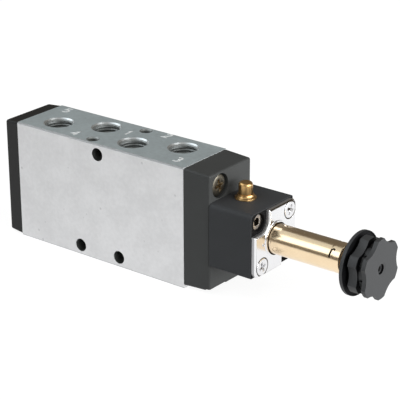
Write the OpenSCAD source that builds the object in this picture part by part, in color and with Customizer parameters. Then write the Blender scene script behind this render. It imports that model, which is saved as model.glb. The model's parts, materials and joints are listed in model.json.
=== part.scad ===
// Body-ported 5/2 spool valve with spring return and a pilot solenoid head, coil not fitted.
// Millimetres. X runs along the valve towards the solenoid tube, Z is up.
// The origin lies midway between the two lower mounting holes, on the body's mid plane.

/* [Valve body] */
// Length of the body along the spool
body_l = 69; // [66:0.5:80]
// Width of the body across the valve
body_w = 22; // [22:0.5:28]
// Height of the body
body_h = 40; // [39:0.5:46]
// Radius of the body's long edges
body_edge_r = 0.6; // [0.3:0.1:1.2]
// Height of the spool axis above the body's underside
spool_height = 20.5; // [20:0.5:22]
// Radius of the bore that the cages and seals fill
bore_r = 7; // [6.8:0.1:7.4]
// Depth of the ring channel round each chamber
channel_depth = 1.2; // [0.8:0.1:1.6]
// Width of each ring channel
channel_w = 5; // [4:0.5:6]

/* [Ports] */
// Wall radius of the five port threads
port_r = 4.57; // [4.3:0.01:4.7]
// Radius of the port mouths
port_mouth_r = 5; // [4.9:0.05:5.2]
// Depth of the port threads
port_depth = 9; // [7.5:0.5:9.5]
// Distance between the two outlet ports
outlet_pitch = 16.2; // [15:0.1:18]
// Distance between the two exhaust ports
exhaust_pitch = 46.8; // [44:0.1:50]
// Distance of the upper ports from the body's mid plane
port_stagger = 3; // [2:0.1:4]
// Radius of the drillings from the ports to the chambers
drilling_r = 2.4; // [1.8:0.1:2.6]

/* [Mounting holes] */
// Radius of the three holes through the body
side_hole_r = 2.15; // [1.6:0.05:2.2]
// Distance between the two lower holes
side_hole_pitch = 16.2; // [16:0.1:24]
// Height of the lower holes above the underside
low_hole_z = 3.4; // [3.2:0.1:4]
// Distance of the upper hole below the top face
high_hole_drop = 3.5; // [3.2:0.1:4]
// Wall radius of the two tapped holes in the top face
tapped_r = 1.77; // [1.3:0.01:1.8]
// Depth of the two tapped holes
tapped_depth = 7; // [4:0.5:8]
// Distance of each tapped hole from the body's middle along the valve
tapped_x = 4.25; // [4.2:0.05:4.4]
// Distance of each tapped hole from the body's middle across the valve
tapped_y = 8; // [7.5:0.1:8.2]

/* [Spool and cages] */
// Distance between neighbouring chambers
chamber_pitch = 10; // [9:0.25:10]
// Travel of the spool
spool_stroke = 3.5; // [2.5:0.25:3.5]
// Radius of the spool's sealing lands
land_r = 4; // [3.6:0.1:4.2]
// Radius of the spool's waists
waist_r = 2.6; // [2.2:0.1:3]
// Length by which a land reaches past the seal that it closes
land_lap = 0.85; // [0.6:0.05:1]
// Width of each lip seal
seal_w = 2.4; // [2:0.1:2.8]
// Number of windows in each cage
cage_windows = 6; // [4:1:8]
// Radius of each cage window
window_r = 1.4; // [1:0.1:1.6]
// Wire radius of the return spring
return_wire_r = 0.4; // [0.3:0.05:0.45]
// Turns of the return spring
return_turns = 5; // [3:1:5]
// Distance of the spool's spring shoulder inside the body's end
spool_inset = 4.5; // [4.2:0.1:4.8]

/* [End caps] */
// Thickness of the spring end cap
spring_cap_t = 5.8; // [5.5:0.1:8]
// Thickness of the pilot end cap
pilot_cap_t = 9.7; // [9.5:0.1:12]
// Distance by which the caps' seats stand back from the body's front face
cap_front_gap = 0.1; // [0.05:0.05:0.5]
// Distance by which the caps' seats stand back from the body's rear face
cap_back_gap = 0.3; // [0.1:0.1:1.2]
// Distance by which the caps' seats stand below the body's top
cap_top_gap = 0.1; // [0.1:0.05:0.2]
// Distance of the spring cap's seat above the underside
spring_cap_foot = 0.3; // [0.1:0.1:1.4]
// Distance of the pilot cap's seat above the underside
pilot_cap_foot = 1.1; // [0.5:0.1:1.1]
// Draft of the caps, taken off each side between the seat and the outer face
cap_draft = 0.4; // [0.2:0.05:0.4]
// Radius of the caps' long edges
cap_edge_r = 0.8; // [0.7:0.05:1.2]
// Radius of the edges round the caps' outer faces
cap_face_r = 0.65; // [0.3:0.05:0.65]
// Height of the shallow relief under the pilot cap
relief_h = 0.6; // [0.3:0.1:0.8]
// Width of the shallow relief under the pilot cap
relief_w = 9.2; // [5:0.1:12]
// Sideways distance of the cap screws from the mid plane
cap_screw_y = 5.2; // [4.8:0.1:5.4]
// Distance of the cap screws inside the body's height
cap_screw_drop = 5.6; // [5.6:0.05:5.8]
// Radius of the cap screw heads
cap_head_r = 3.6; // [3.4:0.05:3.6]
// Height of the cap screw heads
cap_head_h = 2.2; // [1.8:0.1:2.4]
// Depth of the cap screw recesses
cap_recess_depth = 2.6; // [2.5:0.1:3]
// Shank radius of the cap screws
cap_shank_r = 2; // [1.5:0.1:2]
// Length of cap screw thread in the body
cap_thread_l = 9; // [6:0.5:11]
// Radius of the pilot piston's cylinder
piston_bore_r = 7.5; // [7:0.1:7.6]
// Thickness of the pilot piston
piston_t = 3.6; // [3:0.1:3.6]
// Radius of the piston's nose
piston_nose_r = 2.8; // [2.2:0.1:3]

/* [Pilot block] */
// Length of the pilot block along the valve
block_l = 15.7; // [15.5:0.1:20]
// Height of the pilot block
block_h = 20.6; // [20:0.1:21]
// Distance of the block's front face from the mid plane
block_front = 10.9; // [10.5:0.1:11]
// Distance of the block's rear face from the mid plane
block_back = 10.6; // [10.5:0.1:11]
// Radius of the block's upper front edge
block_nose_r = 1.6; // [1:0.1:2]
// Radius of the block's other long edges
block_edge_r = 0.6; // [0.3:0.1:1]
// Distance of the corner screws inside the block's width
corner_side = 3.75; // [3.7:0.05:3.8]
// Distance of the corner screws inside the block's height
corner_drop = 3.3; // [3.25:0.05:3.35]
// Head radius of the socket screws
socket_head_r = 2.65; // [2.4:0.05:2.7]
// Head height of the socket screws
socket_head_h = 3; // [2.4:0.1:3.2]
// Key width of the socket screws
socket_key_w = 2.5; // [2:0.1:2.6]
// Depth at which the socket heads lie below the block's face
socket_sink = 0.8; // [0.3:0.1:1.2]
// Shank radius of the block and plate screws
small_shank_r = 1.5; // [1.2:0.05:1.5]
// Length of socket screw thread in the pilot cap
socket_thread_l = 6; // [4:0.5:7]
// Radius of the pilot air passage
passage_r = 1.2; // [0.8:0.1:1.4]
// Length of the pilot nozzle's shank
nozzle_l = 4.8; // [4:0.1:5]
// Depth of the room in front of the plunger
plunger_room_l = 4.8; // [4.5:0.1:5]

/* [Flange plate] */
// Thickness of the flange plate
plate_t = 1.5; // [1.2:0.1:2]
// Distance by which the plate's outline stands inside the block's
plate_inset = 0.3; // [0.1:0.1:0.3]
// Width of the bevel round the plate's face
plate_bevel = 0.45; // [0.3:0.05:0.45]
// Width of flat plate left between each corner notch and the collar
notch_land = 0.7; // [0.7:0.05:0.8]
// Radial gap round the heads of the plate screws
head_gap = 0.2; // [0.1:0.05:0.2]
// Radius of the raised collar round the tube
collar_r = 5.6; // [5.3:0.1:5.8]
// Height of the raised collar
collar_h = 0.35; // [0.2:0.05:0.5]
// Head radius of the plate screws
plate_head_r = 2.8; // [2.4:0.05:3]
// Thread length of the plate screws
plate_thread_l = 7; // [5:0.5:8]
// Radius of the locating pip on the plate
pip_r = 0.6; // [0.4:0.05:0.8]
// Distance of the locating pip from the tube axis
pip_y = 6.55; // [6.3:0.05:6.9]

/* [Armature tube] */
// Outer radius of the armature tube
tube_r = 4.75; // [4.5:0.05:4.8]
// Wall of the armature tube
tube_wall = 0.45; // [0.35:0.05:0.5]
// Radius of the tube's clamped flange
tube_flange_r = 6; // [5.8:0.05:6.05]
// Thickness of the tube's clamped flange
tube_flange_t = 1.6; // [1.2:0.1:1.8]
// Room for a coil between the plate and the nut
coil_space = 28.8; // [26:0.1:36]
// Length of bare neck between the tube's end and the nut
neck_l = 3.4; // [2.8:0.1:4]
// Radius of the bare neck
neck_r = 4; // [3.6:0.1:4.1]
// Distance of the rolled groove from the tube's end
groove_back = 3.1; // [2.5:0.1:4]
// Width of the rolled groove
groove_w = 1.2; // [0.8:0.1:1.4]
// Depth of the rolled groove
groove_depth = 0.25; // [0.15:0.05:0.3]
// Radius of the threaded stud that holds the nut
stud_r = 3; // [2.5:0.1:3.2]
// Length of the threaded stud
stud_l = 5.7; // [4.5:0.1:5.8]
// Radius of the exhaust bore through the fixed core
vent_r = 0.7; // [0.4:0.05:0.9]
// Travel of the plunger
plunger_stroke = 1.2; // [0.8:0.1:1.6]
// Length of the plunger
plunger_l = 20; // [16:0.5:20.5]
// Wire radius of the plunger spring
plunger_wire_r = 0.25; // [0.2:0.05:0.3]

/* [Manual override] */
// Distance of the button from the pilot cap's face
button_x = 5.65; // [5:0.05:7]
// Radius of the button
button_r = 2.2; // [1.8:0.05:2.3]
// Height of the button above the block
button_h = 5.2; // [4:0.1:6]
// Rounding of the button's top edge
button_round = 0.9; // [0.5:0.1:1.2]
// Travel of the button
button_stroke = 1.5; // [1:0.1:1.6]
// Radius of the bush in the block
bush_r = 2.9; // [2.8:0.05:3]
// Depth of the button's hole in the block
button_hole_depth = 7.8; // [7:0.1:8]
// Radius of the flared brim round the button
brim_r = 3.35; // [3.3:0.05:3.8]
// Height of the flared brim
brim_h = 1.4; // [1:0.1:2]

/* [Coil nut] */
// Tip radius of the front lobed disc
nut_front_r = 9.55; // [9:0.05:10]
// Thickness of the front lobed disc
nut_front_t = 1.4; // [1:0.1:2]
// Tip radius of the lobed grip ring
nut_ring_r = 9.1; // [8.8:0.05:9.6]
// Thickness of the lobed grip ring
nut_ring_t = 2.9; // [2:0.1:3.5]
// Radius of the thin round flange
nut_flange_r = 9.9; // [9.5:0.05:11]
// Thickness of the thin round flange
nut_flange_t = 1.1; // [0.8:0.1:1.5]
// Width of the slot behind the flange
nut_slot_w = 0.9; // [0.6:0.1:1.4]
// Width of the waist between the grip ring and the front disc
nut_waist_w = 1.9; // [1.5:0.1:2.5]
// Radius of the waist
nut_waist_r = 7.3; // [6.8:0.1:7.6]
// Number of lobes
nut_lobes = 6; // [6:1:8]
// Angle of the first lobe from the level direction
nut_lobe_angle = 34; // [0:1:60]
// Share of the pitch that each scallop takes
scallop_share = 0.667; // [0.6:0.01:0.7]
// Depth of each scallop below its chord
scallop_depth = 0.83; // [0.5:0.01:0.9]
// Radius of the drain holes in the waist
drain_r = 0.45; // [0.3:0.05:0.6]

/* [Fits] */
// Radial clearance of running fits
run_gap = 0.06; // [0.02:0.01:0.1]
// Radial clearance of pieces that are seated
seat_gap = 0.05; // [0.02:0.01:0.1]
// Radial clearance of screws in through holes
screw_gap = 0.2; // [0.1:0.05:0.3]
// Free gap round pieces that move past each other
free_gap = 0.35; // [0.3:0.05:0.4]

/* [Hidden] */
$fn = 64;
eps = 0.01;

base_z = -low_hole_z;
top_z = base_z + body_h;
axis_z = base_z + spool_height;
body_x0 = -body_l / 2;
body_x1 = body_l / 2;
cap_x0 = body_x0 - spring_cap_t;
cap_x1 = body_x1 + pilot_cap_t;
block_x1 = cap_x1 + block_l;
plate_x1 = block_x1 + plate_t;
nut_x0 = plate_x1 + coil_space;
tube_x1 = nut_x0 - neck_l;

channel_r = bore_r + channel_depth;
chamber_xs = [for (i = [-2:2]) i * chamber_pitch];
seal_xs = [for (i = [-2.5:2.5]) i * chamber_pitch];
stack_end = 2.5 * chamber_pitch + seal_w / 2;

port_chamfer = port_mouth_r - port_r;
drilling_reach = 2;
upper_ports = [
    [-exhaust_pitch / 2, -port_stagger, -2 * chamber_pitch],
    [-outlet_pitch / 2, port_stagger, -chamber_pitch],
    [outlet_pitch / 2, -port_stagger, chamber_pitch],
    [exhaust_pitch / 2, port_stagger, 2 * chamber_pitch]];

// Screw places as [y, z] seen along X
cap_screw_z = body_h / 2 - cap_screw_drop;
pilot_cap_screw_yz = [[-cap_screw_y, axis_z + cap_screw_z], [cap_screw_y, axis_z - cap_screw_z]];
spring_cap_screw_yz = [[cap_screw_y, axis_z + cap_screw_z], [-cap_screw_y, axis_z - cap_screw_z]];
block_w = block_front + block_back;
corner_y = block_w / 2 - corner_side;
corner_z = block_h / 2 - corner_drop;
socket_screw_yz = [[-corner_y, axis_z + corner_z], [corner_y, axis_z - corner_z]];
plate_screw_yz = [[-corner_y, axis_z - corner_z], [corner_y, axis_z + corner_z]];
cap_recess_r = cap_head_r + 0.25;
socket_recess_r = socket_head_r + 0.15;
socket_recess_depth = socket_head_h + socket_sink;

// Spool and piston, at rest against the pilot end
spool_shoulder_x = body_x0 + spool_inset;
spool_nose_r = 2.6;
spool_x1 = body_x1 - 1;
spring_pocket_x = cap_x0 + 1.4;
return_mean_r = spool_nose_r + return_wire_r + free_gap;
spring_pocket_r = return_mean_r + return_wire_r + free_gap;
piston_stop_wall = 2;
piston_bore_x1 = cap_x1 - piston_stop_wall;
piston_x1 = piston_bore_x1 - 0.2;
piston_x0 = piston_x1 - piston_t;
piston_ring_r = 0.68;
cap_seal_cord = 0.55;
cap_seal_ring = piston_bore_r + 1.1;
cap_seal_groove = 0.95;

// Pilot seat, plunger and core
flange_pocket_r = tube_flange_r + 0.15;
tube_seal_cord = 0.5;
flange_pocket_depth = tube_flange_t + 2 * tube_seal_cord + 0.1;
flange_pocket_x = block_x1 - flange_pocket_depth;
plunger_room_r = tube_r + 0.15;
plunger_room_x = flange_pocket_x - plunger_room_l;
nozzle_r = 2;
nozzle_x0 = plunger_room_x - nozzle_l;
nozzle_tip_x = plunger_room_x + 1.2;
nozzle_bore_r = 0.6;
seat_reach = 0.35;
seat_r = 1.9;
seat_depth = 1.2;
plunger_x0 = nozzle_tip_x + 0.05 + seat_reach;
plunger_x1 = plunger_x0 + plunger_l;
tube_bore_r = tube_r - tube_wall;
plunger_r = tube_bore_r - run_gap;
plunger_spring_r = 1.45;
plunger_pocket_r = plunger_spring_r + plunger_wire_r + free_gap;
plunger_pocket_l = 8;
core_x0 = plunger_x1 + plunger_stroke + free_gap;
groove_x = tube_x1 - groove_back;
stud_x1 = nut_x0 + stud_l;
port_seal_cord = 0.45;
port_seal_ring = passage_r + port_seal_cord + 0.4;

// Outline of the flange plate
plate_y0 = plate_inset - block_front;
plate_y1 = block_back - plate_inset;
plate_z0 = axis_z - block_h / 2 + plate_inset;
plate_z1 = axis_z + block_h / 2 - plate_inset;
plate_corner_r = 2;
plate_root = 0.3;
notch_r = norm([corner_y, corner_z]) - collar_r - notch_land;

// Manual override
button_at_x = cap_x1 + button_x;
block_top = axis_z + block_h / 2;
button_hole_z = block_top - button_hole_depth;
bush_l = 1.6;
button_shoulder_h = 1.3;
button_shoulder_z = block_top - bush_l - 0.2 - button_shoulder_h;
button_shoulder_r = bush_r - 0.1;
button_stem_r = 1.3;
override_wire_r = 0.25;

// Coil nut
nut_ring_x = nut_x0 + nut_flange_t + nut_slot_w;
nut_waist_x = nut_ring_x + nut_ring_t;
nut_front_x = nut_waist_x + nut_waist_w;
nut_x1 = nut_front_x + nut_front_t;
nut_core_r = 6.6;
nut_vent_r = 0.95;
dish_r = 2.6;
dish_depth = 0.3;
stud_room = 0.3;
drain_count = 12;

// Rounded rectangle from y0 to y1 and z0 to z1, with its own radius on the upper front corner
module edge_profile(y0, y1, z0, z1, r, r_nose) {
    translate([y0, z0 + r]) square([y1 - y0, z1 - z0 - r - r_nose]);
    translate([y0 + r, z0]) square([y1 - y0 - 2 * r, r + eps]);
    translate([y0 + r_nose, z1 - r_nose - eps]) square([y1 - y0 - r - r_nose, r_nose + eps]);
    translate([y0 + r, z0 + r]) circle(r = r);
    translate([y1 - r, z0 + r]) circle(r = r);
    translate([y1 - r_nose, z1 - r_nose - eps]) square([r_nose, r_nose - r + eps]);
    translate([y1 - r, z1 - r]) circle(r = r);
    translate([y0 + r_nose, z1 - r_nose]) circle(r = r_nose);
}

// Bar along X with the profile above
module bar(x0, x1, y0, y1, z0, z1, r, r_nose) {
    translate([x0, 0, 0]) rotate([90, 0, 90]) linear_extrude(x1 - x0)
        edge_profile(y0, y1, z0, z1, r, r_nose);
}

// Moulded cap that narrows by its draft from the seat to a round-edged outer face
module moulded_cap(x_seat, x_out, foot) {
    out = x_out > x_seat ? 1 : -1;
    steps = 4;
    y0 = -body_w / 2 + cap_front_gap;
    y1 = body_w / 2 - cap_back_gap;
    z0 = base_z + foot;
    z1 = top_z - cap_top_gap;
    turns = [for (i = [0:steps]) 90 * i / steps];
    stations = concat([[x_seat + out * eps, 0]],
        [for (a = turns) [x_out - out * cap_face_r * (1 - sin(a)), cap_face_r * (1 - cos(a))]]);
    hull() for (s = stations) {
        inset = cap_edge_r + cap_draft * abs(s[0] - x_seat) / abs(x_out - x_seat);
        for (y = [y0 + inset, y1 - inset]) for (z = [z0 + inset, z1 - inset])
            translate([s[0], y, z]) rotate([0, -90 * out, 0])
                cylinder(h = eps, r = cap_edge_r - s[1], $fn = 32);
    }
}

// Round bar along X
module rod(x0, x1, r, y = 0, z = axis_z) {
    translate([x0, y, z]) rotate([0, 90, 0]) cylinder(h = x1 - x0, r = r);
}

// Cone along X
module cone(x0, x1, r0, r1, y = 0, z = axis_z) {
    translate([x0, y, z]) rotate([0, 90, 0]) cylinder(h = x1 - x0, r1 = r0, r2 = r1);
}

// Turned piece about the valve axis, from points given as [radius, x]
module turned(points) {
    translate([0, 0, axis_z]) rotate([0, 90, 0]) rotate_extrude() polygon(points);
}

// Ring seal about an axis along X
module ring_seal(x, ring_r, cord_r) {
    translate([x, 0, axis_z]) rotate([0, 90, 0]) rotate_extrude()
        translate([ring_r, 0]) circle(r = cord_r, $fn = 24);
}

// Round drilling from one point to another
module drilling(from, to, r) {
    v = to - from;
    l = norm(v);
    translate(from) rotate([0, acos(v[2] / l), atan2(v[1], v[0])]) cylinder(h = l, r = r);
}

// Helical spring standing on z = 0
module coil_spring(mean_r, wire_r, length, turns) {
    sides = 8;
    steps = 14 * turns;
    rise = (length - 2 * wire_r) / steps;
    points = [for (i = [0:steps]) for (k = [0:sides - 1])
        let (turn = 360 * turns * i / steps, a = 360 * k / sides,
             r = mean_r + wire_r * cos(a), z = wire_r + rise * i + wire_r * sin(a))
        [r * cos(turn), r * sin(turn), z]];
    walls = [for (i = [0:steps - 1]) for (k = [0:sides - 1])
        let (a = i * sides + k, b = i * sides + (k + 1) % sides)
        [a, a + sides, b + sides, b]];
    start = [for (k = [0:sides - 1]) k];
    end = [for (k = [sides - 1:-1:0]) steps * sides + k];
    polyhedron(points, concat(walls, [start], [end]), convexity = 6);
}

// Screw along -X with its head's outer face at x
module screw(x, y, z, head_r, head_h, shank_r, shank_l, crown) {
    rod(x - head_h - shank_l, x - head_h + eps, shank_r, y, z);
    rod(x - head_h, x - crown, head_r, y, z);
    cone(x - crown - eps, x, head_r, head_r - 1.4 * crown, y, z);
}

module valve_body() {
    color("#c9cbcd") difference() {
        bar(body_x0, body_x1, -body_w / 2, body_w / 2, base_z, top_z, body_edge_r, body_edge_r);
        rod(body_x0 - eps, body_x1 + eps, bore_r);
        for (x = chamber_xs) rod(x - channel_w / 2, x + channel_w / 2, channel_r);
        for (p = upper_ports) {
            port_thread(p[0], p[1], top_z, 1);
            drilling([p[0], p[1], top_z - port_depth + 0.6],
                [(p[0] + 3 * p[2]) / 4, p[1] / 4, axis_z + bore_r - drilling_reach], drilling_r);
        }
        port_thread(0, 0, base_z, -1);
        translate([0, 0, base_z + port_depth - eps])
            cylinder(h = axis_z - base_z - port_depth - bore_r + drilling_reach, r = drilling_r);
        for (x = [-side_hole_pitch / 2, side_hole_pitch / 2]) side_hole(x, base_z + low_hole_z);
        side_hole(0, top_z - high_hole_drop);
        for (s = [-1, 1]) tapped_hole(s * tapped_x, s * tapped_y);
        for (p = pilot_cap_screw_yz)
            rod(body_x1 - cap_thread_l - 1, body_x1 + eps, cap_shank_r + seat_gap, p[0], p[1]);
        for (p = spring_cap_screw_yz)
            rod(body_x0 - eps, body_x0 + cap_thread_l + 1, cap_shank_r + seat_gap, p[0], p[1]);
    }
}

// Port thread cut into the face at z, with up = 1 for the top and -1 for the underside
module port_thread(x, y, z, up) {
    translate([x, y, z]) mirror([0, 0, up < 0 ? 1 : 0]) {
        translate([0, 0, -port_depth]) cylinder(h = port_depth + eps, r = port_r);
        translate([0, 0, -port_chamfer]) cylinder(h = port_chamfer, r1 = port_r, r2 = port_mouth_r);
    }
}

module side_hole(x, z) {
    translate([x, body_w / 2 + eps, z]) rotate([90, 0, 0]) cylinder(h = body_w + 2 * eps, r = side_hole_r);
}

module tapped_hole(x, y) {
    chamfer = 0.4;
    translate([x, y, top_z - tapped_depth]) cylinder(h = tapped_depth + eps, r = tapped_r);
    translate([x, y, top_z - chamfer]) cylinder(h = chamfer, r1 = tapped_r, r2 = tapped_r + chamfer);
}

module spacer_cages() {
    cage_l = chamber_pitch - seal_w;
    rim_l = (cage_l - 2 * window_r - 1) / 2;
    outer = bore_r - seat_gap;
    web = bore_r - 0.8;
    inner = land_r + 1.1;
    color("#b9a36a") for (x = chamber_xs) difference() {
        turned([[inner, x - cage_l / 2], [outer, x - cage_l / 2], [outer, x - cage_l / 2 + rim_l],
            [web, x - cage_l / 2 + rim_l], [web, x + cage_l / 2 - rim_l],
            [outer, x + cage_l / 2 - rim_l], [outer, x + cage_l / 2], [inner, x + cage_l / 2]]);
        for (i = [0:cage_windows - 1]) translate([x, 0, axis_z])
            rotate([360 * i / cage_windows, 0, 0]) cylinder(h = bore_r + 1, r = window_r);
    }
}

module spool_seals() {
    outer = bore_r - seat_gap;
    lip = land_r + run_gap;
    heel = land_r + 1.1;
    lip_half = 0.3;
    half = seal_w / 2;
    color("#2a2a2c") for (x = seal_xs)
        turned([[lip, x - lip_half], [heel, x - half], [outer, x - half],
            [outer, x + half], [heel, x + half], [lip, x + lip_half]]);
}

module spring_bush() {
    outer = bore_r - seat_gap;
    lip_l = 1.5;
    color("#d8d4c8") turned([[land_r + free_gap, -stack_end - lip_l], [land_r + free_gap, -stack_end],
        [outer, -stack_end], [outer, body_x0], [spring_pocket_r + 0.4, body_x0],
        [spring_pocket_r + 0.4, -stack_end - lip_l]]);
}

module piston_bush() {
    outer = bore_r - seat_gap;
    color("#d8d4c8") turned([[land_r + free_gap, stack_end], [outer, stack_end],
        [outer, body_x1], [land_r + free_gap, body_x1]]);
}

module spring_end_cap() {
    color("#3a3b3c") difference() {
        moulded_cap(body_x0, cap_x0, spring_cap_foot);
        rod(spring_pocket_x, body_x0 + eps, spring_pocket_r);
        seal_groove(body_x0, -1);
        for (p = spring_cap_screw_yz) {
            rod(cap_x0 - eps, cap_x0 + cap_recess_depth, cap_recess_r, p[0], p[1]);
            rod(cap_x0, body_x0 + eps, cap_shank_r + screw_gap, p[0], p[1]);
        }
    }
}

// Groove for a cap's ring seal in the face at x, cut towards side
module seal_groove(x, side) {
    x0 = side > 0 ? x - eps : x - cap_seal_groove;
    x1 = side > 0 ? x + cap_seal_groove : x + eps;
    half = cap_seal_cord + 0.05;
    turned([[cap_seal_ring - half, x0], [cap_seal_ring + half, x0],
        [cap_seal_ring + half, x1], [cap_seal_ring - half, x1]]);
}

module spring_cap_seal() {
    color("#1f1f20") squashed_ring(body_x0 - cap_seal_groove, body_x0);
}

module pilot_cap_seal() {
    color("#1f1f20") squashed_ring(body_x1, body_x1 + cap_seal_groove);
}

// Ring seal pressed flat between its groove and the body's face
module squashed_ring(x0, x1) {
    half = cap_seal_cord;
    cut = 0.3;
    turned([[cap_seal_ring - half, x0 + cut], [cap_seal_ring - half + cut, x0],
        [cap_seal_ring + half - cut, x0], [cap_seal_ring + half, x0 + cut],
        [cap_seal_ring + half, x1 - cut], [cap_seal_ring + half - cut, x1],
        [cap_seal_ring - half + cut, x1], [cap_seal_ring - half, x1 - cut]]);
}

module spring_cap_screws() {
    color("#8d8f92") for (p = spring_cap_screw_yz) translate([cap_x0 + cap_recess_depth, 0, 0])
        mirror([1, 0, 0]) screw(cap_head_h, p[0], p[1], cap_head_r, cap_head_h, cap_shank_r,
            spring_cap_t - cap_recess_depth + cap_thread_l, 0.4);
}

module pilot_end_cap() {
    color("#3a3b3c") difference() {
        moulded_cap(body_x1, cap_x1, pilot_cap_foot);
        rod(body_x1 - eps, piston_bore_x1, piston_bore_r);
        seal_groove(body_x1, 1);
        rod(piston_bore_x1 - eps, cap_x1 + eps, passage_r);
        translate([cap_x1 - piston_stop_wall, -body_w / 2, base_z])
            cube([piston_stop_wall + eps, relief_w + cap_front_gap, pilot_cap_foot + cap_draft + relief_h]);
        for (p = pilot_cap_screw_yz) {
            rod(cap_x1 - cap_recess_depth, cap_x1 + eps, cap_recess_r, p[0], p[1]);
            rod(body_x1 - eps, cap_x1, cap_shank_r + screw_gap, p[0], p[1]);
        }
        for (p = socket_screw_yz)
            rod(cap_x1 - socket_thread_l - 0.5, cap_x1 + eps, small_shank_r + seat_gap, p[0], p[1]);
    }
}

module pilot_cap_screws() {
    color("#8d8f92") for (p = pilot_cap_screw_yz)
        screw(cap_x1 - cap_recess_depth + cap_head_h, p[0], p[1], cap_head_r, cap_head_h, cap_shank_r,
            pilot_cap_t - cap_recess_depth + cap_thread_l, 0.4);
}

module pilot_block() {
    color("#3c3d3f") difference() {
        bar(cap_x1, block_x1, -block_front, block_back,
            axis_z - block_h / 2, block_top, block_edge_r, block_nose_r);
        rod(cap_x1 - eps, nozzle_x0 + eps, passage_r);
        rod(nozzle_x0, plunger_room_x + eps, nozzle_r + seat_gap);
        rod(plunger_room_x, flange_pocket_x + eps, plunger_room_r);
        rod(flange_pocket_x, block_x1 + eps, flange_pocket_r);
        port_seal_groove();
        for (p = socket_screw_yz) {
            rod(block_x1 - socket_recess_depth, block_x1 + eps, socket_recess_r, p[0], p[1]);
            rod(cap_x1 - eps, block_x1, small_shank_r + screw_gap, p[0], p[1]);
        }
        for (p = plate_screw_yz)
            rod(block_x1 - plate_thread_l - 1, block_x1 + eps, small_shank_r + seat_gap, p[0], p[1]);
        translate([button_at_x, 0, button_hole_z])
            cylinder(h = block_top - button_hole_z + eps, r = bush_r + seat_gap);
    }
}

module port_seal_groove() {
    half = port_seal_cord + 0.05;
    turned([[port_seal_ring - half, cap_x1 - eps], [port_seal_ring + half, cap_x1 - eps],
        [port_seal_ring + half, cap_x1 + 2 * port_seal_cord],
        [port_seal_ring - half, cap_x1 + 2 * port_seal_cord]]);
}

module pilot_port_seal() {
    color("#1f1f20") ring_seal(cap_x1 + port_seal_cord, port_seal_ring, port_seal_cord);
}

module pilot_block_screws() {
    key_r = socket_key_w / 2 / cos(30);
    key_depth = 1.6;
    face_x = block_x1 - socket_sink;
    color("#b9b6ad") for (p = socket_screw_yz) difference() {
        screw(face_x, p[0], p[1], socket_head_r, socket_head_h, small_shank_r,
            block_l - socket_recess_depth + socket_thread_l, 0.25);
        translate([face_x - key_depth, p[0], p[1]]) rotate([0, 90, 0])
            cylinder(h = key_depth + eps, r = key_r, $fn = 6);
    }
}

module pilot_nozzle() {
    cone_l = 0.8;
    color("#c8a24a") turned([[nozzle_bore_r, nozzle_x0], [nozzle_r, nozzle_x0],
        [nozzle_r, plunger_room_x], [1.6, plunger_room_x],
        [1.6, nozzle_tip_x - cone_l], [1, nozzle_tip_x], [nozzle_bore_r, nozzle_tip_x]]);
}

module flange_plate() {
    hole_r = tube_r + 0.1;
    color("#dcdde0") difference() {
        union() {
            bar(block_x1, plate_x1 - plate_bevel, plate_y0, plate_y1, plate_z0, plate_z1,
                plate_corner_r, plate_corner_r);
            bevelled_face();
            rod(plate_x1 - plate_root, plate_x1 + collar_h, collar_r);
            cone(plate_x1 - plate_root, plate_x1 + collar_h, pip_r, pip_r / 2, -pip_y);
        }
        corner_notch();
        translate([0, 0, axis_z]) rotate([180, 0, 0]) translate([0, 0, -axis_z]) corner_notch();
        rod(block_x1 - eps, plate_x1 + 1, hole_r);
        for (p = plate_screw_yz) {
            rod(block_x1 - eps, plate_x1 + eps, small_shank_r + screw_gap, p[0], p[1]);
            cone(plate_x1 - plate_head_r + small_shank_r, plate_x1 + eps,
                small_shank_r + 0.1, plate_head_r + head_gap, p[0], p[1]);
        }
    }
}

// Bevelled front layer of the plate, with a cone at each corner
module bevelled_face() {
    x0 = plate_x1 - plate_bevel;
    r = plate_corner_r;
    b = plate_bevel;
    for (y = [plate_y0 + r, plate_y1 - r]) for (z = [plate_z0 + r, plate_z1 - r])
        cone(x0, plate_x1, r, r - b, y, z);
    translate([0, plate_y1 - r, 0]) rotate([90, 0, 0]) linear_extrude(plate_y1 - plate_y0 - 2 * r)
        polygon([[x0, plate_z0], [plate_x1, plate_z0 + b], [plate_x1, plate_z1 - b], [x0, plate_z1]]);
    translate([0, 0, plate_z0 + r]) linear_extrude(plate_z1 - plate_z0 - 2 * r)
        polygon([[x0, plate_y0], [plate_x1, plate_y0 + b], [plate_x1, plate_y1 - b], [x0, plate_y1]]);
}

// Notch round the upper front socket screw, bevelled at the face
module corner_notch() {
    y = -corner_y;
    z = axis_z + corner_z;
    r = notch_r;
    reach = block_w - corner_y;
    over = 0.05;
    x0 = plate_x1 - plate_bevel;
    x1 = plate_x1 + over;
    wide = r + plate_bevel + over;
    translate([block_x1 - eps, 0, 0]) rotate([90, 0, 90]) linear_extrude(plate_t + 2 * eps) union() {
        translate([y, z]) circle(r = r);
        translate([y - reach, z - r]) square([reach, reach + r]);
        translate([y - eps, z]) square([r + eps, reach]);
    }
    intersection() {
        cone(x0, x1, r, wide, y, z);
        translate([x0 - eps, y, z - wide]) cube([x1 - x0 + 2 * eps, wide, wide]);
    }
    translate([0, 0, z]) linear_extrude(reach)
        polygon([[x0, y + r], [x1, y + wide], [x1, y], [x0, y]]);
    translate([0, y, 0]) rotate([90, 0, 0]) linear_extrude(reach)
        polygon([[x0, z - r], [x1, z - wide], [x1, z], [x0, z]]);
}

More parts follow.
